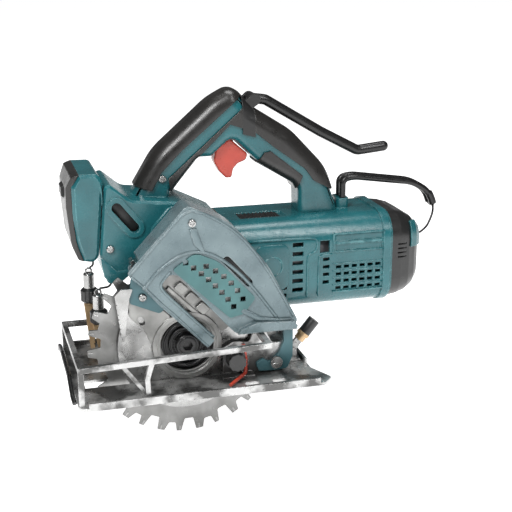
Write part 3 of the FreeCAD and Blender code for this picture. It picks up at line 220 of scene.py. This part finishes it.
def makeFinish(name, look):
    material = bpy.data.materials.new(name)
    material.use_nodes = True
    tree = material.node_tree
    shader = tree.nodes["Principled BSDF"]
    start = Wire(tree)
    place = start.add("TexCoord", out="Object")
    patches = start.add("TexNoise", {}, {"Vector": place, "Scale": texture["patches"],
                                         "Detail": 5.0})
    grain = start.add("TexNoise", {}, {"Vector": place, "Scale": float(look["grain"]),
                                       "Detail": 2.0})
    smudge = start.add("TexNoise", {}, {"Vector": place, "Scale": texture["smudge"], "Detail": 6.0,
                                        "Roughness": 0.65})
    soft = start.add("Bevel", {"samples": 4}, {"Radius": look["edge"]})
    flat = start.add("NewGeometry", out="Normal")
    facing = start.add("VectorMath", {"operation": "DOT_PRODUCT"}, {0: soft, 1: flat}, out=1)
    edge = (1 - facing).steps(*texture["rim"]) * smudge.steps(*texture["worn"]) * look["wear"]
    blotch = patches.steps(*look.get("blotch", texture["blotch"]))
    ground = blotch.blend(rgb(*look["base"]), rgb(*look["patch"]))
    colour = edge.blend(ground, rgb(*look["worn"]))
    low, high = look["rough"]
    rough = smudge.steps(*texture["rough"]) * (high - low) + low
    height = grain * 0.8 + smudge * 0.5
    bump = start.add("Bump", {}, {"Height": height, "Normal": soft, "Distance": look["depth"],
                                  "Strength": texture["bump"]})
    for socket, value in (("Base Color", colour), ("Roughness", rough), ("Normal", bump)):
        tree.links.new(value.socket, shader.inputs[socket])
    shader.inputs["Metallic"].default_value = look["metal"]
    shader.inputs["Coat Weight"].default_value = look["coat"]
    shader.inputs["Coat Roughness"].default_value = texture["coatRough"]
    return material


materials = {name: makeFinish(name, look) for name, look in finishes.items()}


def paint(piece, slot):
    piece.data.materials.clear()
    piece.data.materials.append(materials[slot])


for part in frame["record"]["subparts"]:
    paint(nodes[part["node"]], part["material_slot"])
print("finishes on the CAD pieces")

# ---------- shared modelling steps ----------


def linkShape(shape, name):
    mesh = bpy.data.meshes.new(name)
    shape.to_mesh(mesh)
    shape.free()
    piece = bpy.data.objects.new(name, mesh)
    bpy.context.scene.collection.objects.link(piece)
    return piece


def dressShape(shape, name, slot, smooth=True):
    bmesh.ops.recalc_face_normals(shape, faces=shape.faces)
    for face in shape.faces:
        face.smooth = smooth
    piece = linkShape(shape, name)
    paint(piece, slot)
    return piece


def finishPiece(shape, name, body, slot, smooth=True):
    bmesh.ops.remove_doubles(shape, verts=shape.verts, dist=0.00001)
    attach(dressShape(shape, name, slot, smooth), body)


def addBar(shape, low, high, round=0.0003):
    # a box between two corners with softened edges
    low, high = Vector(low), Vector(high)
    made = bmesh.ops.create_cube(shape, size=1.0)["verts"]
    bmesh.ops.scale(shape, vec=high - low, verts=made)
    bmesh.ops.translate(shape, vec=(low + high) / 2, verts=made)
    edges = list({edge for vert in made for edge in vert.link_edges})
    bmesh.ops.bevel(shape, geom=edges, offset=round, segments=2, profile=0.5, affect="EDGES",
                    material=-1)


def addPlate(shape, outline, near, thick, round=0.0004):
    # a flat outline in the side view, pushed away from the viewer and softened
    corners = [shape.verts.new((x / 1000, near, z / 1000)) for x, z in outline]
    face = shape.faces.new(corners)
    made = bmesh.ops.extrude_face_region(shape, geom=[face])["geom"]
    back = [item for item in made if isinstance(item, bmesh.types.BMVert)]
    bmesh.ops.translate(shape, vec=(0, thick, 0), verts=back)
    bmesh.ops.bevel(shape, geom=list(face.edges), offset=round, segments=2, profile=0.5, affect="EDGES",
                    material=-1)


def addRod(shape, points, radius, sides=10):
    # a round rod swept along a soft line
    line = bpy.data.curves.new("line", "CURVE")
    line.dimensions = "3D"
    line.bevel_depth = radius
    line.bevel_resolution = max(1, sides // 4)
    line.use_fill_caps = True
    spline = line.splines.new("NURBS")
    spline.points.add(len(points) - 1)
    for point, place in zip(spline.points, points):
        point.co = (*place, 1)
    spline.order_u = 3
    spline.use_endpoint_u = True
    line.resolution_u = 8
    carrier = bpy.data.objects.new("carrier", line)
    mesh = bpy.data.meshes.new_from_object(carrier)
    shape.from_mesh(mesh)
    bpy.data.objects.remove(carrier)
    bpy.data.curves.remove(line)
    bpy.data.meshes.remove(mesh)


def arcPoints(centre, radius, start, end, count):
    # side-view points of an arc, in millimetres and degrees
    turns = [math.radians(start + (end - start) * k / (count - 1)) for k in range(count)]
    return [(centre[0] + radius * math.cos(t), centre[1] + radius * math.sin(t)) for t in turns]


def sideLine(points, depth):
    return [(x / 1000, depth, z / 1000) for x, z in points]


# ---------- outer blade cover ----------

cover = {"face": -0.0740, "bead": 0.0015, "rib": 0.0016}


def makeCoverBeads():
    shape = bmesh.new()
    inner = [(-37, 88), (-30, 98), (-18, 108), (-4, 116), (10, 117), (24, 112), (40, 99),
             (56, 81), (68, 64), (76, 53)]
    addRod(shape, sideLine(inner, cover["face"]), cover["bead"])
    outer = [(-47.5, 101.5), (-30, 121), (-12, 140.5), (0, 152), (10, 150), (24, 143), (40, 131.5),
             (56, 114), (70, 92), (82, 70), (90.5, 53)]
    addRod(shape, sideLine(outer, cover["face"] + 0.0002), cover["bead"] * 0.9)
    lower = [(-47, 100), (-36, 90), (-24, 76), (-6, 58), (12, 37), (16, 33.5)]
    addRod(shape, sideLine(lower, cover["face"] + 0.0002), cover["bead"] * 0.8)
    window = [(-14, 101), (-20, 96), (-23.5, 90), (-20, 84), (-6, 69), (10, 52), (21, 41)]
    addRod(shape, sideLine(window, cover["face"] + 0.0003), cover["bead"] * 0.9)
    finishPiece(shape, "cover_beads", "body", "guard_paint")


def makeCoverRib():
    shape = bmesh.new()
    drop = [(1.5, 136), (7.5, 136.5), (12.5, 122), (14.5, 115), (11.5, 116), (5.5, 122), (3, 130)]
    addPlate(shape, drop, cover["face"] - cover["rib"], cover["rib"] * 1.2, 0.0009)
    fold = [(44, 62), (47, 64.5), (62, 55.5), (78, 52.5), (88, 52.5), (88, 50.5), (74, 50.5),
            (58, 52.5), (48, 58)]
    addPlate(shape, fold, cover["face"] - 0.0022, 0.0024, 0.0009)
    finishPiece(shape, "cover_rib", "body", "guard_paint")


louvre = {"bars": 7, "start": (31.5, 106.5), "step": (3.4, 3.75)}


def makeLouvre():
    shape = bmesh.new()
    for k in range(louvre["bars"]):
        x = louvre["start"][0] + k * louvre["step"][0]
        z = louvre["start"][1] - k * louvre["step"][1]
        addBar(shape, ((x - 1.0) / 1000, -0.0728, (z - 3.0) / 1000),
               ((x + 1.2) / 1000, -0.0718, (z + 2.4) / 1000), 0.0002)
    back = [(27, 107), (33, 113), (57, 86), (51, 81)]
    addPlate(shape, back, -0.0717, 0.0006, 0.0001)
    finishPiece(shape, "cover_louvre", "body", "black_steel")


makeCoverBeads()
makeCoverRib()
makeLouvre()
print("blade cover detailed")

# ---------- motor housing ----------

housing = {"side": -0.0430, "line": 0.0010, "rib": 0.0008, "sunk": 0.0001,
           "seams": (97.0, 104.6, 105.6, 113.2), "ribs": (60.4, 66.8, 73.3, 79.8, 86.4)}


def makeHousingRibs():
    shape = bmesh.new()
    side = housing["side"]
    low = side + housing["sunk"]
    for z in housing["seams"]:
        addRod(shape, sideLine([(137, z), (160, z), (183.5, z)], low), housing["line"], 8)
    for z in housing["ribs"]:
        addRod(shape, sideLine([(136, z), (160, z), (184, z)], low), housing["rib"], 8)
    for x in (136.6, 183.6):
        addRod(shape, sideLine([(x, 97), (x, 105), (x, 113.2)], low), housing["line"], 8)
    frame = [(112.5, 58), (112.5, 90), (113.5, 97), (121, 99), (121.5, 109), (118, 112), (60, 112)]
    addRod(shape, sideLine(frame, side), housing["line"], 8)
    lane = [(122.8, 58), (122.8, 92), (124.5, 95.2), (135, 95.4)]
    addRod(shape, sideLine(lane, side), housing["line"], 8)
    finishPiece(shape, "housing_ribs", "body", "teal_plastic")


def makeHousingPanel():
    shape = bmesh.new()
    corner = 7.0
    low, high = (66.0, 66.5), (95.5, 108.0)
    outline = (arcPoints((low[0] + corner, low[1] + corner), corner, 180, 270, 7)
               + arcPoints((high[0] - corner, low[1] + corner), corner, 270, 360, 7)
               + arcPoints((high[0] - corner, high[1] - corner), corner, 0, 90, 7)
               + arcPoints((low[0] + corner, high[1] - corner), corner, 90, 180, 7))
    addPlate(shape, outline, housing["side"] - 0.0009, 0.0012, 0.0007)
    ring = arcPoints((81, 88), 8.5, 0, 360, 28)
    addRod(shape, sideLine(ring, housing["side"] - 0.0009), 0.0006, 8)
    finishPiece(shape, "housing_panel", "body", "teal_plastic")


grille = {"bars": 14, "start": 0.0450, "step": 0.0035, "width": 0.0014, "half": 0.0185}


def makeTopGrille():
    shape = bmesh.new()
    addBar(shape, (0.0420, -0.0200, 0.1240), (0.0950, 0.0200, 0.1262), 0.0002)
    for k in range(grille["bars"]):
        x = grille["start"] + k * grille["step"]
        addBar(shape, (x, -grille["half"], 0.1260), (x + grille["width"], grille["half"], 0.1268),
               0.0002)
    finishPiece(shape, "top_grille", "body", "black_plastic")


makeHousingRibs()
makeHousingPanel()
makeTopGrille()
print("motor housing detailed")

# ---------- rear body ----------


def makeGusset():
    shape = bmesh.new()
    wedge = [(-22, 129), (-8, 144.5), (-1.5, 146.5), (-1.5, 132), (-19, 113), (-24, 121)]
    addPlate(shape, wedge, -0.0350, 0.0032, 0.0012)
    foot = [(-65.5, 106), (-52, 92.5), (-38, 93.5), (-33, 98), (-36.5, 92), (-49, 82.5), (-58, 82),
            (-63, 88)]
    addPlate(shape, foot, -0.0335, 0.0017, 0.0009)
    seam = [(-64, 170), (-61.5, 158), (-62.5, 150)]
    addRod(shape, sideLine(seam, -0.0324), 0.0006, 8)
    finishPiece(shape, "rear_gusset", "body", "teal_plastic")


# painted shade: black sheets at both walls behind the strap slot stand in for the shade inside the slot
def makeSlotShadeSheets():
    shape = bmesh.new()
    shadedOutline = [(-58, 150), (-50, 155), (-30, 133), (-34, 123), (-42, 126)]
    addPlate(shape, shadedOutline, -0.0255, 0.0010, 0.0002)
    addPlate(shape, shadedOutline, 0.0245, 0.0010, 0.0002)
    finishPiece(shape, "strap_slot_shade_sheets", "body", "black_plastic")


makeGusset()
makeSlotShadeSheets()
print("rear body detailed")

# ---------- pin lanyards ----------

lanyardRadius = 0.0010
lanyards = {
    "near": [(-61.9, 14, 62.9), (-58.5, 13, 63.5), (-53.5, 10, 65), (-50.5, 8, 72),
             (-51.1, 7, 80.4)],
    "far": [(-67.9, 28, 78.9), (-65.5, 26.5, 80.2), (-65.3, 23.5, 86), (-67.1, 22.5, 97)]}


def makeLanyard(name, places):
    shape = bmesh.new()
    line = [tuple(v / 1000 for v in place) for place in places]
    addRod(shape, line, lanyardRadius, 12)
    piece = dressShape(shape, "lanyard_wire_" + name, "cord_black")
    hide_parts("lanyard_" + name)
    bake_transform(piece)


for name, places in lanyards.items():
    makeLanyard(name, places)
print("lanyards made")

# ---------- free end of the storage loop ----------


loop = {"wire": 0.0010, "rod": 0.0034, "half": 0.0046}


def makeLoopSpring():
    shape = bmesh.new()
    addRod(shape, [(0.2468, -0.0040, 0.1245), (0.2462, -0.0080, 0.1190), (0.2400, -0.0150, 0.1120),
                   (0.2330, -0.0215, 0.1060), (0.2250, -0.0262, 0.1040)], loop["wire"], 8)
    for y in (-loop["half"], loop["half"]):
        addRod(shape, [(0.2420, y, 0.1350), (0.2450, y, 0.1300), (0.2467, y, 0.1245)],
               loop["rod"], 12)
    finishPiece(shape, "loop_spring", "body", "black_steel")


makeLoopSpring()

# ---------- blade clamp and blade ----------

# each ring is its radius, its tube's radius and its depth
hub = {"centre": (0.0, 0.033),
       "rings": [(0.0190, 0.0011, -0.0632), (0.0145, 0.0009, -0.0622), (0.0118, 0.0008, -0.0622),
                 (0.0074, 0.0007, -0.0680)]}


def addRing(shape, radius, tube, depth):
    made = bmesh.ops.create_circle(shape, segments=10, radius=tube, cap_ends=False)["verts"]
    bmesh.ops.translate(shape, vec=(radius, 0, 0), verts=made)
    edges = list({edge for vert in made for edge in vert.link_edges})
    bmesh.ops.spin(shape, geom=edges, cent=(0, 0, 0), axis=(0, 1, 0), dvec=(0, 0, 0),
                   angle=math.tau, steps=64, use_merge=True)
    fresh = [vert for vert in shape.verts if not vert.tag]
    for vert in fresh:
        vert.tag = True
    bmesh.ops.translate(shape, vec=(hub["centre"][0], depth, hub["centre"][1]), verts=fresh)


def makeHubRings():
    shape = bmesh.new()
    for radius, tube, depth in hub["rings"]:
        addRing(shape, radius, tube, depth)
    finishPiece(shape, "hub_rings", "spindle", "black_steel")


tips = {"count": 30, "lead": 1.6, "size": (0.0042, 0.0021, 0.0013), "radius": 0.0800,
        "depth": -0.056}


def makeBladeTips():
    shape = bmesh.new()
    for k in range(tips["count"]):
        turn = math.tau * k / tips["count"] + math.radians(tips["lead"])
        made = bmesh.ops.create_cube(shape, size=1.0)["verts"]
        bmesh.ops.scale(shape, vec=tips["size"], verts=made)
        bmesh.ops.translate(shape, vec=(tips["radius"], 0, 0), verts=made)
        bmesh.ops.rotate(shape, cent=(0, 0, 0), matrix=Matrix.Rotation(-turn, 3, "Y"), verts=made)
        bmesh.ops.translate(shape, vec=(hub["centre"][0], tips["depth"], hub["centre"][1]),
                            verts=made)
    finishPiece(shape, "blade_tips", "spindle", "steel", smooth=False)


makeHubRings()
makeBladeTips()
print("blade clamp detailed")


# ---------- the studio ----------

def makeFloor():
    shape = bmesh.new()
    bmesh.ops.create_grid(shape, x_segments=1, y_segments=1, size=studio["floorSize"])
    bmesh.ops.translate(shape, vec=(0, 0, studio["floorZ"]), verts=shape.verts)
    floor = linkShape(shape, "floor")
    material = bpy.data.materials.new("paper")
    material.use_nodes = True
    shader = material.node_tree.nodes["Principled BSDF"]
    shader.inputs["Base Color"].default_value = (0.93, 0.93, 0.93, 1)
    shader.inputs["Roughness"].default_value = 0.9
    shader.inputs["Specular IOR Level"].default_value = 0.1
    shader.inputs["Emission Color"].default_value = (1, 1, 1, 1)
    shader.inputs["Emission Strength"].default_value = studio["floorGlow"]
    floor.data.materials.append(material)


makeCamera()
makeFloor()
for name, lamp in lamps.items():
    makeLight(name, **lamp)


def makeSky():
    # white to look at, but dimmer as a light
    sky = bpy.data.worlds.new("sky")
    sky.use_nodes = True
    seen = Wire(sky.node_tree).add("LightPath")
    level = seen * (1 - studio["world"]) + studio["world"]
    shader = sky.node_tree.nodes["Background"]
    shader.inputs["Color"].default_value = (1, 1, 1, 1)
    sky.node_tree.links.new(level.socket, shader.inputs["Strength"])
    bpy.context.scene.world = sky


makeSky()
bpy.context.scene.view_settings.view_transform = "Standard"
print("studio ready")
